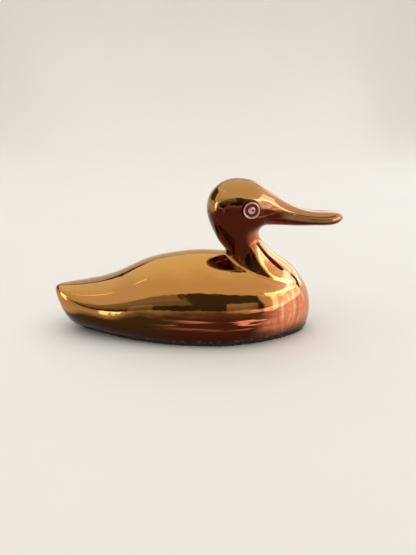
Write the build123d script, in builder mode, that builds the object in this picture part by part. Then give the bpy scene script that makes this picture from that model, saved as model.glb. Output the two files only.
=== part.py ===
from build123d import *
import os
from math import cos, hypot, radians, sin

os.makedirs("parts", exist_ok=True)

# Duck ornament in polished brass: a hollow body casting, a separate head casting drawn down on a neck stud,
# two turned eye studs, and a card base board with a felt pad under it.
# Lengths in mm, angles in degrees. +X runs from tail to bill, +Y to the duck's left, +Z up.
# The origin lies on the table, midway between the tail tip and the bill tip.

# Body casting
BODY_LENGTH = 126.6        # tail tip to the front of the breast
BODY_WIDTH = 57.0
BODY_HEIGHT = 38.2         # bottom rim to the top of the back
WALL = 3.5                 # casting thickness

# Neck and head casting
THROAT_SETBACK = 22.5      # breast front back to the throat's centre
NECK_RISE = 9.3            # top of the back up to the throat's centre
THROAT_RADIUS = 4.0        # hollow of the throat under the bill
SEAM_ANGLE = 204.0         # direction of the neck seam, seen from the throat's centre
NECK_DEPTH = 17.0          # front to back at the seam
NECK_WIDTH = 19.8          # across at the seam
HEAD_REACH = 33.7          # throat's centre to the back of the crown
HEAD_WIDTH = 26.8
BILL_REACH = 35.9          # throat's centre to the bill tip
BILL_WIDTH = 14.8
BILL_DEPTH = 7.0

# Eye studs
EYE_BACK = 8.5             # eye centre behind the throat's centre
EYE_RISE = 14.0            # eye centre above the throat's centre
EYE_DIAMETER = 8.0
EYE_STANDOFF = 0.7         # rim of the eye above the cheek
EYE_SEAT_DEPTH = 1.1       # counterbore below the cheek
EYE_RING_WIDTH = 1.1
EYE_GROOVE_DEPTH = 0.6
EYE_PUPIL_DIAMETER = 4.2
EYE_DIMPLE_DIAMETER = 1.7
EYE_DIMPLE_DEPTH = 0.35
EYE_SHANK_DIAMETER = 3.0
EYE_SHANK_LENGTH = 5.0

# Neck fastening
STUD_DIAMETER = 5.0
STUD_GRIP = 13.0           # threaded depth in the head
STUD_TAIL = 1.5            # stud end showing past the nut
STUD_CHAMFER = 0.6
BOSS_REACH = 20.0          # seam down to the nut's seat
BOSS_MARGIN = 1.5          # boss edge outside the washer
WASHER_DIAMETER = 10.0
WASHER_THICKNESS = 1.0
NUT_FLATS = 8.0
NUT_THICKNESS = 4.0

# Base
FELT_THICKNESS = 1.5
FELT_INSET = 0.6           # felt edge inside the brass rim
BOARD_THICKNESS = 1.6
RIM_LIP = 1.6              # brass left outside the base board

# Clearances
HOLE_CLEARANCE = 0.2       # around the stud in the body
THREAD_CLEARANCE = 0.05    # around the stud in the head and nut
EYE_CLEARANCE = 0.05       # around the eye stud
END_CLEARANCE = 0.5        # past the blind ends of stud and eye shank
BOARD_CLEARANCE = 0.2      # around the base board

# Ribs of the body from tail to shoulder, as shares of body length, height and width:
# distance along, top, keel, height of the widest point between keel and top, breadth.
# The casting is solid in the tail and hollow under the back.
TAIL_RIBS = [
    (0.000, 0.505, 0.450, 0.55, 0.040),
    (0.008, 0.535, 0.355, 0.55, 0.127),
    (0.029, 0.550, 0.175, 0.60, 0.250),
]
BACK_RIBS = [
    (0.069, 0.566, 0.025, 0.56, 0.408),
    (0.128, 0.594, -0.020, 0.51, 0.556),
    (0.231, 0.685, -0.065, 0.42, 0.722),
    (0.365, 0.885, -0.100, 0.34, 0.884),
    (0.507, 0.979, -0.155, 0.33, 0.975),
]

# Ribs of the breast, which fan forward and down about a centre below the rim:
# fan angle, reach as a share of the body height, height of the widest point between root and tip, breadth
FAN_CENTRE = (0.649, -0.30)
FAN_RUN = 0.302            # forward reach of a level rib, as a share of the body length
FAN_ROOT = 0.11            # inner end of each fan rib, measured like its reach
BREAST_RIBS = [
    (90, 1.284, 0.345, 0.993),
    (75, 1.288, 0.352, 0.977),
    (60, 1.340, 0.372, 0.938),
    (45, 1.412, 0.390, 0.860),
    (33, 1.355, 0.390, 0.745),
    (22, 1.250, 0.330, 0.630),
    (11, 1.110, 0.280, 0.550),
    (0, 0.980, 0.230, 0.500),
]

# Ribs of the neck's skirt, from inside the breast up to the seam: rear end, front end and breadth.
# An end lies back from the breast's front by a share of the throat setback, and up by a share of body height.
# The breadth is a share of body width.
SKIRT_RIBS = [
    ((2.054, -0.150), (0.113, 0.432), 0.750),
    ((1.969, 0.170), (0.264, 0.701), 0.680),
    ((1.891, 0.540), (0.608, 0.885), 0.540),
    ((1.885, 0.825), (0.945, 1.045), 0.415),
]

# Ribs of the head, which fan about the throat: fan angle, shares of head reach and head width
HEAD_RIBS = [
    (193, 0.681, 0.755),
    (181, 0.743, 0.820),
    (160, 0.911, 0.955),
    (140, 0.988, 1.000),
    (120, 0.899, 0.965),
    (103, 0.750, 0.830),
    (89, 0.623, 0.680),
]

# Ribs of the bill: share of bill reach, upper and lower edge as shares of bill depth, share of bill width
BILL_RIBS = [
    (0.276, 1.54, -0.03, 0.946),
    (0.540, 1.02, -0.03, 0.919),
    (0.777, 0.92, 0.00, 1.000),
    (0.917, 0.88, 0.12, 0.800),
    (0.974, 0.80, 0.29, 0.520),
    (1.000, 0.66, 0.48, 0.200),
]

# How far a rib's top runs level, as a share of its half breadth
ELLIPSE_ARM = 0.866        # the share that an ellipse has
BODY_SHOULDER = 1.00
BILL_SHOULDER = 1.00

# Places worked out from the sizes above
overall_length = BODY_LENGTH - THROAT_SETBACK + BILL_REACH
tail_x = -overall_length / 2
breast_x = tail_x + BODY_LENGTH
rim_z = FELT_THICKNESS
throat_x = breast_x - THROAT_SETBACK
throat_z = rim_z + BODY_HEIGHT + NECK_RISE
bill_floor = throat_z + THROAT_RADIUS


def rib(top, foot, widest, breadth, shoulder):
    """The left half of a cross-section that stands across the duck, closed along the middle plane.

    The side is one smooth curve of the fourth degree, whose midpoint is the widest point.
    Shoulder says how far its top runs level, as a share of the half breadth.
    """
    foot_point = Vector(foot[0], 0, foot[1])
    rise = Vector(top[0], 0, top[1]) - foot_point
    side = breadth / 2
    upper = rise.length * (1 - widest)
    lower = rise.length * widest
    belly = (8 - 2 * (shoulder + ELLIPSE_ARM)) / 3
    belly_height = -5 * (upper - lower) / 6
    across = Vector(0, 1, 0)
    plane = Plane(foot_point + rise * widest, x_dir=across, z_dir=across.cross(rise))
    with BuildSketch(plane) as outline:
        with BuildLine():
            Bezier(
                (0, -lower),
                (ELLIPSE_ARM * side, -lower),
                (belly * side, belly_height),
                (shoulder * side, upper),
                (0, upper),
            )
            Line((0, upper), (0, -lower))
        make_face()
    return outline.sketch.face()


def body_point(along, up):
    """A point in the middle plane, from shares of the body's length and height."""
    return (tail_x + along * BODY_LENGTH, rim_z + up * BODY_HEIGHT)


def body_ribs(inset, upright_ribs):
    """The body's ribs, upright ones and then the breast's, drawn in all round by the inset."""
    ribs = []
    for along, top, keel, widest, breadth in upright_ribs:
        top_x, top_z = body_point(along, top)
        keel_x, keel_z = body_point(along, keel)
        width = breadth * BODY_WIDTH - 2 * inset
        ribs.append(rib((top_x, top_z - inset), (keel_x, keel_z + inset), widest, width, BODY_SHOULDER))
    centre_x, centre_z = body_point(*FAN_CENTRE)
    for angle, reach, widest, breadth in BREAST_RIBS:
        forward = cos(radians(angle)) * FAN_RUN * BODY_LENGTH
        up = sin(radians(angle)) * BODY_HEIGHT
        tip = reach - inset / hypot(forward, up)
        width = breadth * BODY_WIDTH - 2 * inset
        tip_point = (centre_x + tip * forward, centre_z + tip * up)
        root_point = (centre_x + FAN_ROOT * forward, centre_z + FAN_ROOT * up)
        ribs.append(rib(tip_point, root_point, widest, width, BODY_SHOULDER))
    return ribs


def skirt_point(back, up):
    """A point in the middle plane, from shares of the throat setback and the body's height."""
    return (breast_x - back * THROAT_SETBACK, rim_z + up * BODY_HEIGHT)


def skirt_rib(rear, front, breadth):
    """A rib of the neck's skirt, from its front on the breast to its rear inside the body."""
    return rib(skirt_point(*rear), skirt_point(*front), 0.5, breadth * BODY_WIDTH, ELLIPSE_ARM)


def throat_point(angle, distance):
    """A point in the middle plane, seen from the throat's centre."""
    return (throat_x + distance * cos(radians(angle)), throat_z + distance * sin(radians(angle)))


def head_rib(angle, reach, breadth):
    """A rib of the neck or head, from the throat outward."""
    return rib(throat_point(angle, reach), throat_point(angle, THROAT_RADIUS), 0.5, breadth, ELLIPSE_ARM)


def bill_rib(along, top, under, breadth):
    """An upright rib of the bill."""
    x = throat_x + along * BILL_REACH
    top_point = (x, bill_floor + top * BILL_DEPTH)
    under_point = (x, bill_floor + under * BILL_DEPTH)
    return rib(top_point, under_point, 0.5, breadth * BILL_WIDTH, BILL_SHOULDER)


# Ribs from inside the breast to the bill tip
skirt_ribs = [skirt_rib(*row) for row in SKIRT_RIBS]
seam_rib = head_rib(SEAM_ANGLE, THROAT_RADIUS + NECK_DEPTH, NECK_WIDTH)
head_ribs = [head_rib(angle, reach * HEAD_REACH, breadth * HEAD_WIDTH) for angle, reach, breadth in HEAD_RIBS]
bill_ribs = [bill_rib(*row) for row in BILL_RIBS]

# The seam across the neck, and the space below it that belongs to the body casting
seam_x, seam_z = throat_point(SEAM_ANGLE, THROAT_RADIUS + NECK_DEPTH / 2)
neck_axis = Vector(sin(radians(SEAM_ANGLE)), 0, -cos(radians(SEAM_ANGLE)))
seam_plane = Plane((seam_x, 0, seam_z), x_dir=(0, 1, 0), z_dir=neck_axis)
nape_x, nape_z = throat_point(SEAM_ANGLE, HEAD_REACH)
with BuildPart() as below_seam:
    with BuildSketch(Plane.XZ):
        with BuildLine():
            Polyline(
                (throat_x, throat_z),
                (nape_x, nape_z),
                (nape_x, -BODY_HEIGHT),
                (breast_x, -BODY_HEIGHT),
                (breast_x, throat_z),
                close=True,
            )
        make_face()
    extrude(amount=BODY_WIDTH, both=True)

# Outer form of the neck's skirt, up to the seam; it runs on into a rib of the head to meet it smoothly
with BuildPart() as neck_skirt:
    loft(sections=skirt_ribs + [seam_rib] + head_ribs[1:2])
    mirror(about=Plane.XZ)
    add(below_seam.part, mode=Mode.INTERSECT)

# Outer form of the body with the neck's skirt, cut off flat at the rim
with BuildPart() as body_form:
    loft(sections=body_ribs(0, TAIL_RIBS + BACK_RIBS))
    mirror(about=Plane.XZ)
    add(neck_skirt.part)
    split(bisect_by=Plane.XY.offset(rim_z), keep=Keep.TOP)
rim_face = body_form.faces().sort_by(Axis.Z)[0]


def rim_outline(inset):
    """The rim's outline, drawn in all round by the inset."""
    box = rim_face.bounding_box()
    middle = Location(box.center())
    shares = (1 - 2 * inset / box.size.X, 1 - 2 * inset / box.size.Y, 1)
    outline = middle * scale(middle.inverse() * rim_face, by=shares)
    return Face(outline.wire())


# Core of the casting, one wall inside the outer form
with BuildPart() as core:
    loft(sections=body_ribs(WALL, BACK_RIBS))
    mirror(about=Plane.XZ)

# Body casting: hollow, with a boss for the neck stud and a rebate for the base board
with BuildPart() as body_shell:
    add(body_form.part)
    add(core.part, mode=Mode.SUBTRACT)
    with BuildSketch(seam_plane.offset(-BOSS_REACH)):
        Circle(WASHER_DIAMETER / 2 + BOSS_MARGIN)
    extrude(amount=BOSS_REACH - WALL)
    with BuildSketch(seam_plane):
        Circle(STUD_DIAMETER / 2 + HOLE_CLEARANCE)
    extrude(amount=-BOSS_REACH, mode=Mode.SUBTRACT)
    extrude(rim_outline(RIM_LIP), amount=BOARD_THICKNESS, dir=(0, 0, 1), mode=Mode.SUBTRACT)
body_shell.part.label = "body_shell"
export_step(body_shell.part, "parts/body_shell.step")

# Outer form of the head and bill, down to the seam; it starts from the skirt's last rib
with BuildPart() as head_form:
    loft(sections=skirt_ribs[-1:] + [seam_rib] + head_ribs + bill_ribs)
    mirror(about=Plane.XZ)
    add(below_seam.part, mode=Mode.SUBTRACT)


def eye_seat(side):
    """The plane that touches the cheek at the eye's centre, on the left for side 1, the right for -1."""
    sight = Axis((throat_x - EYE_BACK, 0, throat_z + EYE_RISE), (0, side, 0))
    point, normal = max(head_form.part.find_intersection_points(sight), key=lambda hit: hit[0].Y * side)
    return Plane(point, x_dir=(1, 0, 0), z_dir=normal)


eye_seats = {"left_eye": eye_seat(1), "right_eye": eye_seat(-1)}

# Head casting: solid, with a blind tapped hole at the seam and a counterbored socket for each eye
with BuildPart() as head_casting:
    add(head_form.part)
    with Locations(Plane(seam_plane.origin, x_dir=seam_plane.x_dir, z_dir=-seam_plane.z_dir)):
        Hole(STUD_DIAMETER / 2 + THREAD_CLEARANCE, depth=STUD_GRIP + END_CLEARANCE)
    with Locations(*eye_seats.values()):
        CounterBoreHole(
            radius=EYE_SHANK_DIAMETER / 2 + EYE_CLEARANCE,
            counter_bore_radius=EYE_DIAMETER / 2 + EYE_CLEARANCE,
            counter_bore_depth=EYE_SEAT_DEPTH,
            depth=EYE_SEAT_DEPTH + EYE_SHANK_LENGTH + END_CLEARANCE,
        )
head_casting.part.label = "head_casting"
export_step(head_casting.part, "parts/head_casting.step")

# Eye studs: a raised ring and a domed, dimpled pupil with a groove between them, on a plain shank
eye_radius = EYE_DIAMETER / 2
ring_inside = eye_radius - EYE_RING_WIDTH
groove_floor = EYE_STANDOFF - EYE_GROOVE_DEPTH
pupil_radius = EYE_PUPIL_DIAMETER / 2
dimple_radius = EYE_DIMPLE_DIAMETER / 2
dimple_floor = EYE_STANDOFF - EYE_DIMPLE_DEPTH
shank_radius = EYE_SHANK_DIAMETER / 2
shank_end = -EYE_SEAT_DEPTH - EYE_SHANK_LENGTH
for name, seat in eye_seats.items():
    with BuildPart() as eye:
        with BuildSketch(Plane(seat.origin, x_dir=seat.x_dir, z_dir=-seat.y_dir)):
            with BuildLine():
                TangentArc((0, dimple_floor), (dimple_radius, EYE_STANDOFF), tangent=(1, 0))
                TangentArc((dimple_radius, EYE_STANDOFF), (pupil_radius, groove_floor), tangent=(1, 0))
                Polyline(
                    (0, dimple_floor),
                    (0, shank_end),
                    (shank_radius, shank_end),
                    (shank_radius, -EYE_SEAT_DEPTH),
                    (eye_radius, -EYE_SEAT_DEPTH),
                    (eye_radius, groove_floor),
                )
                ThreePointArc(
                    (eye_radius, groove_floor),
                    ((eye_radius + ring_inside) / 2, EYE_STANDOFF),
                    (ring_inside, groove_floor),
                )
                Line((ring_inside, groove_floor), (pupil_radius, groove_floor))
            make_face()
        revolve(axis=Axis(seat.origin, seat.z_dir))
    eye.part.label = name
    export_step(eye.part, f"parts/{name}.step")

# Neck stud, from its thread in the head down through the boss
stud_length = STUD_GRIP + BOSS_REACH + WASHER_THICKNESS + NUT_THICKNESS + STUD_TAIL
with BuildPart() as neck_stud:
    with BuildSketch(seam_plane.offset(STUD_GRIP)):
        Circle(STUD_DIAMETER / 2)
    extrude(amount=-stud_length)
    chamfer(neck_stud.edges().filter_by(GeomType.CIRCLE), STUD_CHAMFER)
neck_stud.part.label = "neck_stud"
export_step(neck_stud.part, "parts/neck_stud.step")

# Washer under the boss
with BuildPart() as neck_washer:
    with BuildSketch(seam_plane.offset(-BOSS_REACH)):
        Circle(WASHER_DIAMETER / 2)
        Circle(STUD_DIAMETER / 2 + HOLE_CLEARANCE, mode=Mode.SUBTRACT)
    extrude(amount=-WASHER_THICKNESS)
neck_washer.part.label = "neck_washer"
export_step(neck_washer.part, "parts/neck_washer.step")

# Nut under the washer
with BuildPart() as neck_nut:
    with BuildSketch(seam_plane.offset(-BOSS_REACH - WASHER_THICKNESS)):
        RegularPolygon(NUT_FLATS / 2, side_count=6, major_radius=False)
        Circle(STUD_DIAMETER / 2 + THREAD_CLEARANCE, mode=Mode.SUBTRACT)
    extrude(amount=-NUT_THICKNESS)
neck_nut.part.label = "neck_nut"
export_step(neck_nut.part, "parts/neck_nut.step")

# Base board in its rebate, flush with the rim
with BuildPart() as base_board:
    extrude(rim_outline(RIM_LIP + BOARD_CLEARANCE), amount=BOARD_THICKNESS, dir=(0, 0, 1))
base_board.part.label = "base_board"
export_step(base_board.part, "parts/base_board.step")

# Felt pad under the rim and the board
with BuildPart() as felt_pad:
    extrude(rim_outline(FELT_INSET), amount=FELT_THICKNESS, dir=(0, 0, -1))
felt_pad.part.label = "felt_pad"
export_step(felt_pad.part, "parts/felt_pad.step")
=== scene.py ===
import math
from types import SimpleNamespace

import bmesh
import bpy
import numpy as np
from mathutils import Matrix, Vector


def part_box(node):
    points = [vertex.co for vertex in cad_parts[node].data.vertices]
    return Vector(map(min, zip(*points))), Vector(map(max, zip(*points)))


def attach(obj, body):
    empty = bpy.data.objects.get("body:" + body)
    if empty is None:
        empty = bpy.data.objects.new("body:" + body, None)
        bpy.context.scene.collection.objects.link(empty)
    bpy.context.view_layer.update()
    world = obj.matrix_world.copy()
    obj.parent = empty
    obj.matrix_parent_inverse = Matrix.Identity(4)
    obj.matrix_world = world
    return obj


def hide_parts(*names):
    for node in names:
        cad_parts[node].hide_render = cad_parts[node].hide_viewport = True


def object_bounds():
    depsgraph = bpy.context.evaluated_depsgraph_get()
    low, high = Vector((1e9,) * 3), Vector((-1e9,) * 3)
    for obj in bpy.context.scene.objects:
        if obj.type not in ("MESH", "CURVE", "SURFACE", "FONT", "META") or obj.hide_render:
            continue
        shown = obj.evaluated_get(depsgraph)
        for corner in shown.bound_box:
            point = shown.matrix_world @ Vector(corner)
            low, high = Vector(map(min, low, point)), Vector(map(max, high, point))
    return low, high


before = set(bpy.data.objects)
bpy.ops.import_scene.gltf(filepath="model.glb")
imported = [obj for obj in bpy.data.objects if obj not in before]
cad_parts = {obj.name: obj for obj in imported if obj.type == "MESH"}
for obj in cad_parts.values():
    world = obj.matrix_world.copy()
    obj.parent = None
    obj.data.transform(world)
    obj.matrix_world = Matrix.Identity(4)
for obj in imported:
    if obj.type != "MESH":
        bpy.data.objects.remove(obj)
cad_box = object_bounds()

MM = 0.001

# Camera, for a frame of 416 by 555 pixels
PHOTO_HEIGHT = 555
FOCAL_PIXELS = 615
SENSOR = 36.0
NEAREST_SEEN = 0.01
CAMERA_DISTANCE = 0.305
CAMERA_ELEVATION = math.radians(20)
CAMERA_TARGET = Vector((5.8, 0, 25.8)) * MM

# Casting skin
SKIN_GRAIN = 0.5 * MM
SMOOTH_ROUNDS = 70
SMOOTH_PULL = 0.5
SMOOTH_PUSH = 0.525
CAD_POINT_GRID = 1e-6
STUD_SURROUND = 3.5 * MM
SEAM_EASE_LENGTH = (2 * MM, 8 * MM)
SEAM_EASE_RADIUS = (11.5 * MM, 13.5 * MM)
SEAM_EASE_ROUNDS = 80
SEAM_REACH = 11 * MM

# Wear of the castings
WEAR_SEED = 11
RIM_WEAR_HEIGHT = 4.0 * MM
RIM_WEAR_DEPTH = 0.30 * MM
RIM_WEAR_GRAIN = 1.4 * MM
RIM_WEAR_OCTAVES = (1.0, 1.9, 3.7, 7.1)
RIM_WEAR_CREST = 2.2
RIM_WEAR_SHARE = (0.6, 1.0)
LOW_DINGS = 70
HIGH_DINGS = 12
DING_RADIUS = (0.5 * MM, 1.1 * MM)
DING_DEPTH = (0.02 * MM, 0.06 * MM)
LOW_DING_HEIGHT = 13 * MM
HIGH_DING_REACH = 24 * MM

# Bill line: a shallow groove along each side of the bill
BILL_LINE_MIDDLE = 59 * MM
BILL_LINE_HEIGHT = 57.9 * MM
BILL_LINE_CURVE = 10.5
BILL_LINE_START = (43 * MM, 47 * MM)
BILL_LINE_END = (65 * MM, 67 * MM)
BILL_LINE_WIDTH = 0.55 * MM
BILL_LINE_DEPTH = 0.16 * MM
BILL_LINE_DARK_REACH = (0.10 * MM, 0.45 * MM)
BILL_LINE_FACING = (0.3, 0.5)

# Eye studs, with heights below the crest
EYE_POINTS = 96
EYE_DOME_STEPS = 14
EYE_RING_STEPS = 18
EYE_FLOOR_STEPS = 5
EYE_RADIUS = 4.0 * MM
EYE_RING_INSIDE = 3.0 * MM
EYE_RING_WEAR = 0.10 * MM
EYE_RING_WAVES = (2, 5)
EYE_RING_WAVE_START = 0.8
EYE_GROOVE_DEPTH = 0.62 * MM
EYE_FLOOR_DEPTH = 1.06 * EYE_GROOVE_DEPTH
EYE_PUPIL_RADIUS = 1.9 * MM
EYE_DIMPLE_OFFSET = 0.55 * MM
EYE_DIMPLE_RADIUS = 0.62 * MM
EYE_DIMPLE_DEPTH = 0.28 * MM
EYE_SHOULDER = -1.8 * MM
EYE_SHANK_RADIUS = 1.5 * MM
EYE_SHANK_END = -6.8 * MM

# Felt
FELT_SEED = 5
FELT_POINTS = 420
FELT_RINGS = 14
FELT_FUZZ = 0.16 * MM
FELT_FUZZ_LIMITS = (-2, 1)
FELT_DRAW_IN = 0.004
FELT_EDGE_LEVELS = (0.0, 0.2, 0.4, 0.6, 0.8, 1.0)
FELT_LOW_EDGE = 0.1 * MM

# Paper bowl: the floor and what it curves up to
BOWL_POINTS = 96
BOWL_STEPS = 16
BOWL_CURVE = 0.22
BOWL_RADIUS = 1.30
BOWL_CLOSER_BEHIND = 0.65
BOWL_CLOSER_AHEAD = 0.25
BOWL_TOP = 0.24
BOWL_TALLER_BEHIND = 0.21
BOWL_TALLER_AHEAD = 0.08
BOWL_TALLER_TAILWARD = 0.16
BOWL_BEHIND = (0.72, 0.97)
BOWL_AHEAD = (0.50, 0.95)
BOWL_TAILWARD = (0.80, 0.98)

# Finishes, as reflected colours
GOLD = (0.60, 0.31, 0.077)
SIDE_GOLD = (0.47, 0.21, 0.055)
OLD_GOLD = (0.42, 0.225, 0.076)
PALE_GOLD = (0.92, 0.84, 0.58)
CREAM = (0.98, 0.62, 0.32)
SALMON = (0.95, 0.31, 0.15)
BREAST_TAN = (0.36, 0.22, 0.16)
BROW_PINK = (0.52, 0.25, 0.14)
BILL_TAN = (0.34, 0.17, 0.07)
RED_BROWN = (0.072, 0.014, 0.006)
OLIVE_BROWN = (0.050, 0.021, 0.005)
STREAK_RED = (0.62, 0.20, 0.09)
RIM_BROWN = (0.055, 0.020, 0.010)
RIM_BRIGHT = (0.72, 0.45, 0.22)
EYE_PINK = (0.68, 0.37, 0.35)
EYE_WORN = (0.62, 0.27, 0.20)
EYE_DARK = (0.030, 0.008, 0.008)
STEEL = (0.56, 0.56, 0.55)
STEEL_DULL = (0.44, 0.43, 0.41)
BOARD = (0.36, 0.27, 0.18)
BOARD_DARK = (0.24, 0.17, 0.11)
FELT_DARK = (0.030, 0.018, 0.013)
FELT_LIGHT = (0.075, 0.045, 0.030)
PAPER = (0.88, 0.87, 0.85)
PAPER_SHADE = (0.86, 0.85, 0.83)

# Light
DUCK = (0, 0, 0.03)
SIDEWAYS = (1, 0, 0)
UP = (0, 0, 1)
WARM_WHITE = (1.0, 0.97, 0.92)
CREAM_LIGHT = (1.0, 0.94, 0.82)
ROSE_LIGHT = (1.0, 0.86, 0.80)
COOL_WHITE = (0.95, 0.98, 1.0)
DIM_ROOM = (0.085, 0.07, 0.055, 1)
BREAST_STRIP_DISTANCE = 0.72
BREAST_STRIP_HEIGHT = 0.31
BREAST_STRIP_SIZE = (0.58, 0.114)
BREAST_STRIPS = (
    (41, 0.9, CREAM_LIGHT),
    (50, 2.6, CREAM_LIGHT),
    (59, 1.2, ROSE_LIGHT),
    (68, 1.5, CREAM_LIGHT),
    (77, 1.2, ROSE_LIGHT),
    (86, 1.7, CREAM_LIGHT),
    (95, 1.2, ROSE_LIGHT),
    (104, 1.5, COOL_WHITE),
)


class Value:
    """A shader socket on which plain sums can be written. Each sum adds a Math node."""

    def __init__(self, finish, socket):
        self.finish = finish
        self.socket = socket

    def math(self, operation, *others):
        sockets = dict(enumerate((self,) + others))
        return self.finish.node("Math", {"operation": operation}, sockets)

    def __add__(self, other):
        return self.math("ADD", other)

    def __sub__(self, other):
        return self.math("SUBTRACT", other)

    def __mul__(self, other):
        return self.math("MULTIPLY", other)

    def __rsub__(self, other):
        return self.finish.node("Math", {"operation": "SUBTRACT"}, {0: other, 1: self})

    def __abs__(self):
        return self.math("ABSOLUTE")

    __radd__ = __add__
    __rmul__ = __mul__

    def rise(self, low, high):
        """0 below low, 1 above high, with a soft step between them."""
        settings = {"interpolation_type": "SMOOTHSTEP"}
        return self.finish.node("MapRange", settings, {0: self, 1: low, 2: high})

    def fall(self, low, high):
        return 1 - self.rise(low, high)

    def between(self, start, end):
        """1 from the soft step at the start to the one at the end, and 0 outside them."""
        return self.rise(*start) * self.fall(*end)


class Finish:
    """A material, built node by node."""

    def __init__(self, name):
        self.material = bpy.data.materials.new(name)
        self.material.use_nodes = True
        self.tree = self.material.node_tree
        self.shader = self.tree.nodes["Principled BSDF"]

    def plug(self, socket, value):
        if isinstance(value, Value):
            self.tree.links.new(value.socket, socket)
        elif isinstance(value, tuple) and len(socket.default_value) == 4:
            socket.default_value = value + (1.0,)
        else:
            socket.default_value = value

    def node(self, kind, settings, sockets, output=0):
        node = self.tree.nodes.new(f"ShaderNode{kind}")
        for name, value in settings.items():
            setattr(node, name, value)
        for name, value in sockets.items():
            self.plug(node.inputs[name], value)
        return Value(self, node.outputs[output])

    def set(self, **sockets):
        for name, value in sockets.items():
            self.plug(self.shader.inputs[name.replace("_", " ")], value)

    def place(self):
        """The place on the part."""
        return self.node("TexCoord", {}, {}, "Object")

    def facing(self):
        """The surface's direction."""
        return self.node("NewGeometry", {}, {}, "Normal")

    def part(self, vector, axis):
        """One of a vector's three parts."""
        return self.node("SeparateXYZ", {}, {0: vector}, axis)

    def vector(self, operation, first, second):
        return self.node("VectorMath", {"operation": operation}, {0: first, 1: second})

    def stretched(self, point, factors):
        return self.vector("MULTIPLY", point, factors)

    def noise(self, point, size, detail=3.0):
        """Cloudy noise from 0 to 1, with lumps of about the given size in metres."""
        return self.node("TexNoise", {}, {"Vector": point, "Scale": 1 / size, "Detail": detail})

    def cells(self, point, size):
        """The distance from the nearest of many scattered spots."""
        return self.node("TexVoronoi", {}, {"Vector": point, "Scale": 1 / size}, "Distance")

    def mix(self, share, first, second):
        return self.node("Mix", {"data_type": "RGBA"}, {0: share, 6: first, 7: second}, 2)

    def bump(self, height, distance):
        return self.node("Bump", {}, {"Height": height, "Distance": distance})


def brass_spot(brass):
    """What the brass's tones depend on: the place, where it faces, and two kinds of unevenness."""
    point = brass.place()
    facing = brass.facing()
    return SimpleNamespace(
        point=point,
        x=brass.part(point, "X"),
        z=brass.part(point, "Z"),
        out_x=brass.part(facing, "X"),
        out_z=brass.part(facing, "Z"),
        clouds=brass.noise(point, 14 * MM) - 0.5,
        smears=brass.noise(brass.stretched(point, (0.25, 1.0, 2.2)), 5 * MM) - 0.5,
    )


def upward_sheen_and_rubbed_gold(brass, at):
    """Gold on what faces up, a painted reflection of the light overhead, and on handled spots that are worn:
    how much of it there is, and its colour.
    """
    stern = at.x.fall(-42 * MM, -24 * MM) * at.z.rise(9.5 * MM, 12.5 * MM)
    tail_tip = at.x.fall(-63 * MM, -54 * MM) * at.z.rise(8 * MM, 12 * MM)
    nape = at.out_x.fall(-0.80, -0.45) * at.z.rise(56 * MM, 60 * MM)
    handled = stern + tail_tip * 1.3 + nape
    share = (at.out_z + at.clouds * 0.20 + at.smears * 0.20 + handled * 0.28).rise(0.20, 0.50)

    dull_back = at.x.rise(-66 * MM, -58 * MM) * at.x.fall(-40 * MM, -10 * MM)
    dull_head = at.z.rise(54 * MM, 62 * MM)
    # Brighter gold where it faces most steeply up: a painted highlight.
    colour = brass.mix((at.out_z + at.clouds * 0.25).rise(0.66, 0.92), SIDE_GOLD, GOLD)
    return share, brass.mix(dull_back * 0.40 + dull_head * 0.85, colour, OLD_GOLD)


def painted_side_reflection(brass, at):
    """Painted dark reflection on the sides: red-brown, olive towards the tail, and level streaks of painted
    reflection on flanks and cheeks.
    """
    tailward = (at.x + at.clouds * (16 * MM)).fall(-18 * MM, -4 * MM) * at.z.fall(26 * MM, 32 * MM)
    # Level streaks on flanks and cheeks: a painted reflection of the room.
    painted_room_streaks = brass.noise(brass.stretched(at.point, (0.16, 1.0, 3.4)), 5 * MM, 2.0) - 0.5
    flank = at.z.between((8 * MM, 13 * MM), (19 * MM, 25 * MM)) * at.x.rise(-24 * MM, 8 * MM)
    cheek = at.z.between((57 * MM, 60 * MM), (64 * MM, 67 * MM))
    painted_room_streaks = painted_room_streaks.rise(0.02, 0.14) * (flank + cheek * 0.5)
    towards_breast = at.x.rise(4 * MM, 18 * MM) * at.z.fall(30 * MM, 36 * MM)
    colour = brass.mix(tailward, RED_BROWN, OLIVE_BROWN)
    return brass.mix(painted_room_streaks, colour, brass.mix(towards_breast, STREAK_RED, SALMON))


def painted_front_reflection(brass, at, head):
    """Painted reflection on what faces forward: how much of it there is, and its colour, salmon with upright
    stripes, a painted highlight on the front and pink on the brow.
    """
    share = (at.out_x + at.smears * 0.25).rise(0.16, 0.56) * at.x.rise(22 * MM, 33 * MM)
    share = share * (1 - head * at.out_z.fall(0.0, 0.35))

    # Upright stripes: a painted reflection of strips of light beside the duck.
    reflected_stripes = brass.noise(brass.stretched(at.point, (1.5, 1.5, 0.10)), 3.2 * MM, 2.0)
    upright = at.out_z.fall(0.30, 0.55)
    pale_reflected_stripes = reflected_stripes.rise(0.52, 0.66) * upright * share.rise(0.55, 0.95)
    red_reflected_stripes = reflected_stripes.fall(0.32, 0.42) * upright
    # Tan low on the foremost breast is painted reflection, and the pale band higher up is a painted
    # highlight.
    foremost = at.out_x.rise(0.80, 0.92) * at.z.fall(24 * MM, 30 * MM)
    pale_front_highlight = at.out_x.rise(0.55, 0.80) * at.z.between((23 * MM, 30 * MM), (40 * MM, 46 * MM))
    colour = brass.mix(pale_reflected_stripes + (1 - upright) * 0.35, SALMON, CREAM)
    colour = brass.mix(red_reflected_stripes * 0.6, colour, STREAK_RED)
    colour = brass.mix(foremost * 0.45, colour, BREAST_TAN)
    colour = brass.mix(pale_front_highlight * 0.6, colour, PALE_GOLD)
    return share, brass.mix(head, colour, BROW_PINK)


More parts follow.
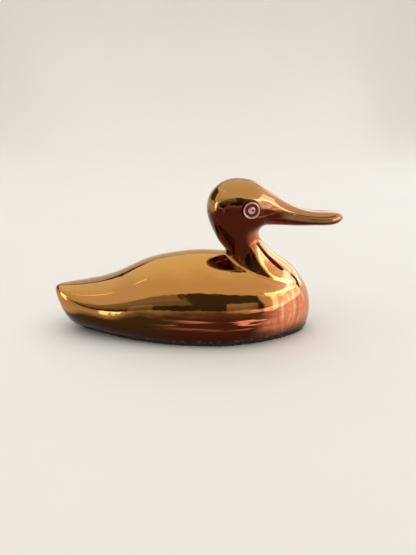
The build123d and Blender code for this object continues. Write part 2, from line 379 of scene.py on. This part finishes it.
def polished_brass():
    """Old polished brass with painted reflection and shade in its colour: gold where it faces up or is
    rubbed, salmon where it faces forward, dark red on the sides and below, brown along the rim.
    """
    brass = Finish("polished_brass")
    at = brass_spot(brass)
    head = at.z.rise(50 * MM, 54 * MM)
    # Painted shade: the neck's sides and underside darkened to red-brown.
    neck = at.z.between((35 * MM, 41 * MM), (55 * MM, 61 * MM)) * at.out_z.fall(0.45, 0.70)
    # Tan on the bill, left off where it faces down, so the underside keeps its painted dark reflection.
    bill = at.x.rise(38 * MM, 45 * MM) * head * at.out_z.rise(-0.45, -0.10)
    low_shade = (at.z + at.clouds * (6 * MM)).fall(3 * MM, 11 * MM)
    rim = (at.z + at.smears * (3 * MM)).fall(2.2 * MM, 4.6 * MM)
    specks = brass.cells(at.point, 1.6 * MM).fall(0.16, 0.30) * at.z.fall(2.6 * MM, 4.4 * MM)
    # Darker along the bill's groove.
    along_line = at.x - BILL_LINE_MIDDLE
    bill_line = abs(at.z - BILL_LINE_HEIGHT - along_line * along_line * BILL_LINE_CURVE)
    bill_line = bill_line.fall(*BILL_LINE_DARK_REACH) * at.x.between(BILL_LINE_START, BILL_LINE_END)

    sheen_and_rubbed, gold = upward_sheen_and_rubbed_gold(brass, at)
    fronting, salmon = painted_front_reflection(brass, at, head)
    colour = painted_side_reflection(brass, at)
    for share, tone in (
        (sheen_and_rubbed, gold),
        (neck * 0.85, RED_BROWN),
        (bill * 0.75, BILL_TAN),
        (fronting * 0.9, salmon),
        (low_shade * 0.75, RED_BROWN),
        (rim * 0.9, RIM_BROWN),
        (specks * 0.8, RIM_BRIGHT),
        (bill_line * 0.75, RED_BROWN),
    ):
        colour = brass.mix(share, colour, tone)

    ripple = brass.noise(at.point, 10 * MM, 1.0)
    scratches = brass.noise(brass.stretched(at.point, (0.25, 3.0, 3.0)), 1.1 * MM, 2.0)
    pits = brass.cells(at.point, 4.5 * MM).fall(0.03, 0.075)
    dull_spots = brass.noise(at.point, 5 * MM).rise(0.5, 0.75)
    brass.set(
        Base_Color=colour,
        Metallic=1.0,
        Roughness=0.06 + low_shade * 0.10 + rim * 0.22 + dull_spots * 0.05,
        Normal=brass.bump(ripple * 0.9 + scratches * 0.010 - pits * 0.08, 0.10 * MM),
    )
    return brass.material


def eye_copper(middle, axis):
    """Copper-coloured eye: pink on ring and dome, dark in the groove, the dimple and round the edge."""
    copper = Finish("eye_copper")
    point = copper.place()
    x, y, z = (copper.part(point, axis_name) for axis_name in "XYZ")
    mirrored = copper.node("CombineXYZ", {}, {0: x, 1: 0 - abs(y), 2: z})
    worn = copper.noise(point, 1.2 * MM)

    def radius_from(centre):
        from_axis = copper.vector("SUBTRACT", mirrored, tuple(centre))
        across = copper.vector("CROSS_PRODUCT", from_axis, tuple(axis))
        radius = copper.node("VectorMath", {"operation": "LENGTH"}, {0: across}, "Value")
        return radius + (worn - 0.5) * (0.25 * MM)

    radius = radius_from(middle)
    groove = radius.between((1.50 * MM, 1.85 * MM), (2.85 * MM, 3.15 * MM))
    dimple = radius_from(middle + np.array((EYE_DIMPLE_OFFSET, 0, 0))).fall(0.35 * MM, 0.85 * MM)
    edge = radius.rise(3.72 * MM, 4.00 * MM)
    dark = groove.math("MAXIMUM", dimple).math("MAXIMUM", edge)
    colour = copper.mix(worn.rise(0.40, 0.65), EYE_PINK, EYE_WORN)
    copper.set(
        Base_Color=copper.mix(dark * 0.92, colour, EYE_DARK),
        Metallic=1.0,
        Roughness=0.20 + worn * 0.10 + dark * 0.25,
        Normal=copper.bump(worn, 0.05 * MM),
    )
    return copper.material


def plain_steel():
    steel = Finish("plain_steel")
    turned = steel.noise(steel.stretched(steel.place(), (1.0, 1.0, 6.0)), 1.0 * MM)
    steel.set(
        Base_Color=steel.mix(turned, STEEL, STEEL_DULL),
        Metallic=1.0,
        Roughness=0.28 + turned * 0.15,
        Normal=steel.bump(turned, 0.04 * MM),
    )
    return steel.material


def base_card():
    card = Finish("base_card")
    fibres = card.noise(card.stretched(card.place(), (0.4, 1.0, 1.0)), 1.2 * MM, 5.0)
    card.set(
        Base_Color=card.mix(fibres.rise(0.3, 0.7), BOARD, BOARD_DARK),
        Roughness=0.85 + fibres * 0.1,
        Normal=card.bump(fibres, 0.08 * MM),
    )
    return card.material


def dark_felt():
    felt = Finish("dark_felt")
    point = felt.place()
    fibres = felt.noise(point, 0.5 * MM, 6.0)
    tufts = felt.noise(point, 3.0 * MM, 4.0)
    felt.set(
        Base_Color=felt.mix((fibres * 0.6 + tufts * 0.4).rise(0.35, 0.65), FELT_DARK, FELT_LIGHT),
        Roughness=0.9 + fibres * 0.1,
        Normal=felt.bump(fibres, 0.25 * MM),
    )
    return felt.material


def pale_paper():
    paper = Finish("pale_paper")
    grain = paper.noise(paper.place(), 60 * MM)
    paper.set(
        Base_Color=paper.mix(grain, PAPER, PAPER_SHADE),
        Roughness=0.75 + grain * 0.1,
    )
    return paper.material


def new_piece(name, mesh, material):
    piece = bpy.data.objects.new(name, mesh)
    bpy.context.scene.collection.objects.link(piece)
    mesh.materials.clear()
    mesh.materials.append(material)
    return piece


def finish_piece(piece, node):
    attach(piece, "root")
    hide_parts(node)


def mesh_from(shape, name):
    """A smooth-shaded mesh from a finished bmesh."""
    mesh = bpy.data.meshes.new(name)
    shape.to_mesh(mesh)
    shape.free()
    mesh.shade_smooth()
    return mesh


def points_of(mesh):
    points = np.empty(len(mesh.vertices) * 3)
    mesh.vertices.foreach_get("co", points)
    return points.reshape(-1, 3)


def cad_points(node):
    return points_of(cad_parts[node].data)


def stud_axis():
    """A point on the neck stud's axis, and the axis's upward direction."""
    points = cad_points("neck_stud")
    middle = points.mean(axis=0)
    axis = np.linalg.svd(points - middle)[2][0]
    return middle, axis * math.copysign(1, axis[2])


def eye_axis(node):
    """A point on an eye stud's axis, level with its crest, and the outward direction.

    The axis is the direction whose spread stands apart from the other two, which are alike.
    """
    points = cad_points(node)
    middle = points.mean(axis=0)
    spread, directions = np.linalg.eigh(np.cov((points - middle).T))
    apart = 2 if spread[2] - spread[1] > spread[1] - spread[0] else 0
    axis = directions[:, apart]
    axis = axis * math.copysign(1, axis[1] * middle[1])
    return middle + axis * ((points - middle) @ axis).max(), axis


def seam_plane():
    """The neck seam: square to the stud, where the body casting's top lies against it."""
    middle, axis = stud_axis()
    from_middle = cad_points("body_shell") - middle
    beside_stud = np.linalg.norm(np.cross(from_middle, axis), axis=1) < STUD_SURROUND
    return middle + axis * (from_middle[beside_stud] @ axis).max(), axis


def one_skin(nodes):
    """One closed skin over several CAD nodes, in even small quads."""
    joined = bmesh.new()
    for node in nodes:
        joined.from_mesh(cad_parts[node].data)
    bmesh.ops.remove_doubles(joined, verts=joined.verts, dist=CAD_POINT_GRID)
    mesh = bpy.data.meshes.new("joined_castings")
    joined.to_mesh(mesh)
    joined.free()
    holder = bpy.data.objects.new("joined_castings", mesh)
    bpy.context.scene.collection.objects.link(holder)
    remesh = holder.modifiers.new("even_quads", "REMESH")
    remesh.mode = "VOXEL"
    remesh.voxel_size = SKIN_GRAIN
    graph = bpy.context.evaluated_depsgraph_get()
    skin = bpy.data.meshes.new_from_object(holder.evaluated_get(graph))
    bpy.data.objects.remove(holder)
    bpy.data.meshes.remove(mesh)
    return skin


def relax(points, edges, shares):
    """Moves each point towards the middle of its neighbours, once for each share of the way."""
    first, second = edges.T
    neighbours = np.bincount(edges.ravel(), minlength=len(points))
    for share in shares:
        for axis in range(3):
            line = points[:, axis]
            total = np.bincount(first, line[second], len(points))
            total += np.bincount(second, line[first], len(points))
            points[:, axis] = line + share * (total / neighbours - line)
    return points


def soft_step(values, low, high):
    share = np.clip((values - low) / (high - low), 0, 1)
    return share * share * (3 - 2 * share)


def beside_seam(points):
    """1 on the neck at the seam, fading to 0 away from it."""
    middle, axis = seam_plane()
    from_middle = points - middle
    along = np.abs(from_middle @ axis)
    across = np.linalg.norm(np.cross(from_middle, axis), axis=1)
    return (1 - soft_step(along, *SEAM_EASE_LENGTH)) * (1 - soft_step(across, *SEAM_EASE_RADIUS))


def rim_wear(points, rng):
    """A nibbled edge along the foot of the body."""
    x, y, z = points.T
    depth = np.zeros(len(points))
    rim = np.where(z < RIM_WEAR_HEIGHT)[0]
    along = np.arctan2(y[rim], x[rim]) * cad_box[1].y / RIM_WEAR_GRAIN
    nibbles = np.zeros(len(rim))
    for octave in RIM_WEAR_OCTAVES:
        nibbles += np.sin(along * octave + rng.uniform(0, 2 * math.pi)) / octave ** 0.5
    nibbles = np.clip(nibbles / RIM_WEAR_CREST, 0, 1) * rng.uniform(*RIM_WEAR_SHARE, len(rim))
    fade = 1 - soft_step(z[rim], 0.5 * RIM_WEAR_HEIGHT, RIM_WEAR_HEIGHT)
    depth[rim] = RIM_WEAR_DEPTH * nibbles * fade
    return depth


def dings(points, rng):
    """Small dents, many of them low on the body and a few higher up, away from the breast and the bill."""
    x, _, z = points.T
    depth = np.zeros(len(points))
    low = np.where((z < LOW_DING_HEIGHT) & (z > RIM_WEAR_HEIGHT))[0]
    high = np.where((z > LOW_DING_HEIGHT) & (x < HIGH_DING_REACH))[0]
    for spots, count in ((low, LOW_DINGS), (high, HIGH_DINGS)):
        for centre in points[rng.choice(spots, count, replace=False)]:
            radius = rng.uniform(*DING_RADIUS)
            reach = np.linalg.norm(points - centre, axis=1) / radius
            depth += rng.uniform(*DING_DEPTH) * (1 - soft_step(reach, 0.0, 1.0))
    return depth


def bill_groove(points, outward):
    """The line along each side of the bill."""
    x, _, z = points.T
    line = BILL_LINE_HEIGHT + BILL_LINE_CURVE * (x - BILL_LINE_MIDDLE) ** 2
    groove = 1 - soft_step(np.abs(z - line), 0, BILL_LINE_WIDTH)
    groove *= soft_step(x, *BILL_LINE_START) * (1 - soft_step(x, *BILL_LINE_END))
    return BILL_LINE_DEPTH * groove * soft_step(np.abs(outward[:, 1]), *BILL_LINE_FACING)


def casting_skin():
    """The skin over both castings, smoothed, eased at the neck seam and worn in."""
    skin = one_skin(("body_shell", "head_casting", "base_board"))
    edges = np.empty(len(skin.edges) * 2, dtype=int)
    skin.edges.foreach_get("vertices", edges)
    edges = edges.reshape(-1, 2)
    points = relax(points_of(skin), edges, (SMOOTH_PULL, -SMOOTH_PUSH) * SMOOTH_ROUNDS)
    points = relax(points, edges, (SMOOTH_PULL * beside_seam(points),) * SEAM_EASE_ROUNDS)
    skin.vertices.foreach_set("co", points.ravel())
    skin.update()
    outward = np.empty(len(points) * 3)
    skin.vertex_normals.foreach_get("vector", outward)
    outward = outward.reshape(-1, 3)
    rng = np.random.default_rng(WEAR_SEED)
    depth = rim_wear(points, rng) + dings(points, rng) + bill_groove(points, outward)
    points -= outward * depth[:, None]
    skin.vertices.foreach_set("co", points.ravel())
    skin.update()
    return skin


def connected_points(start):
    """All points that edges join to the given one."""
    found, waiting = {start}, [start]
    while waiting:
        for edge in waiting.pop().link_edges:
            for vert in edge.verts:
                if vert not in found:
                    found.add(vert)
                    waiting.append(vert)
    return found


def part_at_seam(shape):
    """Cuts the skin through the neck at the seam plane, and nowhere else that the plane meets it."""
    middle, direction = seam_plane()
    centre = Vector(middle)
    faces = [face for face in shape.faces if (face.calc_center_median() - centre).length < SEAM_REACH]
    edges = dict.fromkeys(edge for face in faces for edge in face.edges)
    verts = dict.fromkeys(vert for face in faces for vert in face.verts)
    neck = [*verts, *edges, *faces]
    cut = bmesh.ops.bisect_plane(shape, geom=neck, plane_co=middle, plane_no=direction)["geom_cut"]
    bmesh.ops.split_edges(shape, edges=[item for item in cut if isinstance(item, bmesh.types.BMEdge)])


def cut_skin(skin, keep_head):
    """The head's or the body's part of the skin, closed at the neck seam and shaded as if it were whole."""
    half = bmesh.new()
    half.from_mesh(skin)
    layer = half.verts.layers.float_vector.new("whole_normal")
    for vert in half.verts:
        vert[layer] = vert.normal
    part_at_seam(half)
    head_points = connected_points(max(half.verts, key=lambda vert: vert.co.z))
    other_points = [vert for vert in half.verts if (vert in head_points) != keep_head]
    bmesh.ops.delete(half, geom=other_points, context="VERTS")
    bmesh.ops.holes_fill(half, edges=[edge for edge in half.edges if edge.is_boundary])
    mesh = mesh_from(half, "casting")
    normals = np.empty(len(mesh.vertices) * 3)
    mesh.attributes["whole_normal"].data.foreach_get("vector", normals)
    mesh.attributes.remove(mesh.attributes["whole_normal"])
    mesh.normals_split_custom_set_from_vertices(normals.reshape(-1, 3))
    return mesh


def closed_mesh(name, rows):
    """A closed mesh through rows of points. The first and the last row are single points."""
    shape = bmesh.new()
    rows = [[shape.verts.new(point) for point in row] for row in rows]
    around = max(len(row) for row in rows)
    for lower, upper in zip(rows, rows[1:]):
        for k in range(around):
            n = (k + 1) % around
            below = [lower[k % len(lower)], lower[n % len(lower)]]
            above = [upper[n % len(upper)], upper[k % len(upper)]]
            shape.faces.new(list(dict.fromkeys(below + above)))
    bmesh.ops.recalc_face_normals(shape, faces=shape.faces)
    return mesh_from(shape, name)


def eye_profile():
    """The eye's half section as radius and height below the crest, from the pupil out and down the shank."""
    quarter = np.linspace(0, math.pi / 2, EYE_DOME_STEPS)
    dome = np.column_stack([
        EYE_PUPIL_RADIUS * np.sin(quarter),
        EYE_GROOVE_DEPTH * (np.cos(quarter) - 1),
    ])
    floor_radii = np.linspace(EYE_PUPIL_RADIUS, EYE_RING_INSIDE, EYE_FLOOR_STEPS)[1:-1]
    floor = [(radius, -EYE_FLOOR_DEPTH) for radius in floor_radii]
    half = np.linspace(math.pi, 0, EYE_RING_STEPS)
    ring = np.column_stack([
        (EYE_RADIUS + EYE_RING_INSIDE) / 2 + (EYE_RADIUS - EYE_RING_INSIDE) / 2 * np.cos(half),
        EYE_GROOVE_DEPTH * (np.sin(half) - 1),
    ])
    shank = [
        (EYE_RADIUS, EYE_SHOULDER),
        (EYE_SHANK_RADIUS, EYE_SHOULDER),
        (EYE_SHANK_RADIUS, EYE_SHANK_END),
        (0, EYE_SHANK_END),
    ]
    return np.vstack([dome, floor, ring, shank])


def eye_mesh(node):
    """A turned eye stud: a slightly uneven ring, a wide groove and a domed pupil with a punched dimple."""
    top, axis = eye_axis(node)
    forward = np.array((1, 0, 0)) - axis * axis[0]
    forward = forward / np.linalg.norm(forward)
    upward = np.cross(axis, forward)
    turn = np.linspace(0, 2 * math.pi, EYE_POINTS, endpoint=False)
    slow, quick = EYE_RING_WAVES
    ring_wear = EYE_RING_WEAR * (1 + np.sin(slow * turn + EYE_RING_WAVE_START) * np.sin(quick * turn)) / 2
    rows = []
    for radius, height in eye_profile():
        if radius == 0:
            rows.append([top + axis * height])
            continue
        on_face = height > EYE_SHOULDER
        on_ring = on_face and radius > EYE_RING_INSIDE
        across, along = radius * np.cos(turn), radius * np.sin(turn)
        from_dimple = np.hypot(across - EYE_DIMPLE_OFFSET, along) / EYE_DIMPLE_RADIUS
        out = height - on_ring * ring_wear - on_face * EYE_DIMPLE_DEPTH * np.exp(-from_dimple ** 2)
        rows.append(top + np.outer(across, forward) + np.outer(along, upward) + np.outer(out, axis))
    return closed_mesh(node, rows)


def felt_outline():
    """The felt's edge as evenly spaced points, from its CAD solid."""
    rim = cad_points("felt_pad")
    rim = rim[rim[:, 2] < FELT_LOW_EDGE][:, :2]
    middle = (rim.min(axis=0) + rim.max(axis=0)) / 2
    turn = np.arctan2(*(rim - middle).T[::-1])
    rim = rim[np.argsort(turn)]
    closed = np.vstack([rim, rim[:1]])
    along = np.concatenate([[0], np.cumsum(np.hypot(*np.diff(closed, axis=0).T))])
    stations = np.linspace(0, along[-1], FELT_POINTS, endpoint=False)
    return middle, np.column_stack([np.interp(stations, along, closed[:, k]) for k in range(2)])


def felt_mesh():
    """The felt pad: flat top and bottom, with a slightly drawn-in, hairy edge."""
    rng = np.random.default_rng(FELT_SEED)
    middle, edge = felt_outline()
    low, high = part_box("felt_pad")
    thickness = high.z - low.z
    rings = [(k / FELT_RINGS, low.z, 0) for k in range(FELT_RINGS)]
    for level in FELT_EDGE_LEVELS:
        rings.append((1 - FELT_DRAW_IN * (1 - level), low.z + thickness * level, 1))
    rings += [(k / FELT_RINGS, high.z, 0) for k in reversed(range(FELT_RINGS))]
    out = edge - middle
    reach = np.hypot(*out.T)
    rows = []
    for share, height, hairy in rings:
        if share == 0:
            rows.append([(*middle, height)])
            continue
        fuzz = hairy * FELT_FUZZ * rng.normal(size=len(edge)).clip(*FELT_FUZZ_LIMITS)
        ring = middle + out * (share + fuzz / reach - hairy * FELT_FUZZ / reach)[:, None]
        rows.append([(*point, height) for point in ring])
    return closed_mesh("felt", rows)


def bowl_point(turn, step):
    """A point of the paper bowl: turn is the way round from the front, and step the way out."""
    behind = soft_step(-math.cos(turn), *BOWL_BEHIND)
    ahead = soft_step(math.cos(turn), *BOWL_AHEAD)
    tailward = soft_step(-math.sin(turn), *BOWL_TAILWARD)
    radius = BOWL_RADIUS - BOWL_CLOSER_BEHIND * behind - BOWL_CLOSER_AHEAD * ahead
    top = BOWL_TOP + BOWL_TALLER_BEHIND * behind + BOWL_TALLER_AHEAD * ahead
    top += BOWL_TALLER_TAILWARD * tailward
    bend = math.pi / 2 * min(max(step - 1, 0), BOWL_STEPS) / BOWL_STEPS
    reach = (radius - BOWL_CURVE) * min(step + 1, 2) / 2 + BOWL_CURVE * math.sin(bend)
    height = BOWL_CURVE - BOWL_CURVE * math.cos(bend) + (top - BOWL_CURVE) * (step == BOWL_STEPS + 2)
    return reach * math.sin(turn), -reach * math.cos(turn), height


def paper_bowl():
    """A pale paper floor that curves up all round: close and tall behind the duck, far and low in front."""
    bowl = bmesh.new()
    centre = bowl.verts.new((0, 0, 0))
    turns = [2 * math.pi * k / BOWL_POINTS for k in range(BOWL_POINTS)]
    rings = [[bowl.verts.new(bowl_point(turn, step)) for turn in turns] for step in range(BOWL_STEPS + 3)]
    for k in range(BOWL_POINTS):
        n = (k + 1) % BOWL_POINTS
        bowl.faces.new((centre, rings[0][k], rings[0][n]))
        for inner, outer in zip(rings, rings[1:]):
            bowl.faces.new((inner[k], outer[k], outer[n], inner[n]))
    bmesh.ops.recalc_face_normals(bowl, faces=bowl.faces)
    return mesh_from(bowl, "paper_bowl")


def softbox(name, place, aim, size, brightness, colour, along=SIDEWAYS):
    """A rectangular lamp whose face has the given brightness. Its width runs along the given direction."""
    width, height = size
    lamp = bpy.data.lights.new(name, "AREA")
    lamp.shape = "RECTANGLE"
    lamp.size = width
    lamp.size_y = height
    lamp.energy = brightness * math.pi * width * height
    lamp.color = colour
    box = bpy.data.objects.new(name, lamp)
    back = (Vector(place) - Vector(aim)).normalized()
    side = (Vector(along) - back * back.dot(Vector(along))).normalized()
    box.matrix_world = Matrix((side, back.cross(side), back)).transposed().to_4x4()
    box.location = place
    box.visible_camera = False
    bpy.context.scene.collection.objects.link(box)
    return box


def hung_softbox(name, place, size, brightness, colour=WARM_WHITE):
    """A softbox that hangs level and faces straight down."""
    return softbox(name, place, (place[0], place[1], 0), size, brightness, colour)


def show_in_metal_only(box):
    """Keeps a lamp's light off the floor and the felt, so that it shows in polished metal alone."""
    box.visible_diffuse = False


def reflector(*settings):
    """A softbox that shows in polished metal alone."""
    show_in_metal_only(softbox(*settings))


def seen_from_duck(turn, rise, distance):
    """A place seen from the duck: turn in degrees from the front towards the bill, and rise in degrees."""
    turn, rise = math.radians(turn), math.radians(rise)
    level = Vector((math.sin(turn), -math.cos(turn), 0)) * math.cos(rise)
    return (level + Vector(UP) * math.sin(rise)) * distance


# Castings
brass = polished_brass()
skin = casting_skin()
body = new_piece("body_casting", cut_skin(skin, False), brass)
head = new_piece("head_and_bill", cut_skin(skin, True), brass)
finish_piece(body, "body_shell")
finish_piece(head, "head_casting")
bpy.data.meshes.remove(skin)

# Felt pad
felt = new_piece("felt_base", felt_mesh(), dark_felt())
finish_piece(felt, "felt_pad")

# Eye studs
eye_finish = eye_copper(*eye_axis("right_eye"))
for side in ("left", "right"):
    eye = new_piece(f"{side}_eye_stud", eye_mesh(f"{side}_eye"), eye_finish)
    finish_piece(eye, f"{side}_eye")

# Pieces that keep their CAD shape
steel_finish = plain_steel()
for node, material in (
    ("neck_stud", steel_finish),
    ("neck_washer", steel_finish),
    ("neck_nut", steel_finish),
    ("base_board", base_card()),
):
    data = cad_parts[node].data
    data.materials.clear()
    data.materials.append(material)

# Floor
floor = new_piece("paper_bowl", paper_bowl(), pale_paper())

# Softboxes: the large ones light everything, and the fill doesn't show in the metal
hung_softbox("overhead_softbox", (0.3, 0.275, 0.9), (2.6, 2.25), 0.98)
hung_softbox("tail_side_softbox", (-1.9, -0.20, 0.9), (1.8, 1.30), 0.85)
hung_softbox("front_feather", (-1.3, -1.05, 0.9), (2.0, 0.40), 0.32)
hung_softbox("front_fade", (-1.3, -1.50, 0.9), (2.0, 0.50), 0.22)
hung_softbox("floor_fill", (0, 0, 1.3), (2.4, 2.4), 0.32).visible_glossy = False

# Reflectors for the metal
show_in_metal_only(hung_softbox("ceiling_tube", (-0.63, 0.02, 0.88), (0.20, 0.02), 2.0, CREAM_LIGHT))
strip_aim = Vector(UP) * BREAST_STRIP_HEIGHT
for turn, brightness, colour in BREAST_STRIPS:
    place = seen_from_duck(turn, 0, BREAST_STRIP_DISTANCE) + strip_aim
    reflector(f"breast_strip_{turn}", place, strip_aim, BREAST_STRIP_SIZE, brightness, colour, UP)
throat_start, throat_end = seen_from_duck(43, 42, 0.66), seen_from_duck(98, 22, 0.66)
throat_place, throat_run = (throat_start + throat_end) / 2, throat_end - throat_start
stern_place, stern_aim = (-0.347, -0.357, 0.063), (-0.04, -0.02, 0.063)
nape_place, nape_aim = (-0.50, -0.06, 0.12), (0.01, -0.01, 0.063)
reflector("throat_strip", throat_place, DUCK, (0.52, 0.042), 3.4, CREAM_LIGHT, throat_run)
reflector("rear_panel", seen_from_duck(140, 20, 0.60), DUCK, (0.26, 0.48), 1.3, COOL_WHITE, UP)
reflector("stern_panel", stern_place, stern_aim, (0.018, 0.115), 4.0, CREAM_LIGHT)
reflector("nape_panel", nape_place, nape_aim, (0.20, 0.08), 3.6, COOL_WHITE, UP)
reflector("front_right_card", seen_from_duck(21, 21, 0.90), DUCK, (0.30, 0.26), 0.50, WARM_WHITE)
reflector("front_left_card", seen_from_duck(-35, 20, 0.90), DUCK, (0.22, 0.20), 0.26, WARM_WHITE)

# Room
world = bpy.data.worlds.new("dim_room")
world.use_nodes = True
world.node_tree.nodes["Background"].inputs["Color"].default_value = DIM_ROOM
bpy.context.scene.world = world

# Camera
lens = bpy.data.cameras.new("camera")
lens.sensor_width = SENSOR
lens.lens = FOCAL_PIXELS * SENSOR / PHOTO_HEIGHT
lens.clip_start = NEAREST_SEEN
camera = bpy.data.objects.new("camera", lens)
outward = Vector((0, -math.cos(CAMERA_ELEVATION), math.sin(CAMERA_ELEVATION)))
camera.location = CAMERA_TARGET + outward * CAMERA_DISTANCE
camera.rotation_euler = (-outward).to_track_quat("-Z", "Y").to_euler()
bpy.context.scene.collection.objects.link(camera)
bpy.context.scene.camera = camera
bpy.context.scene.view_settings.view_transform = "Standard"
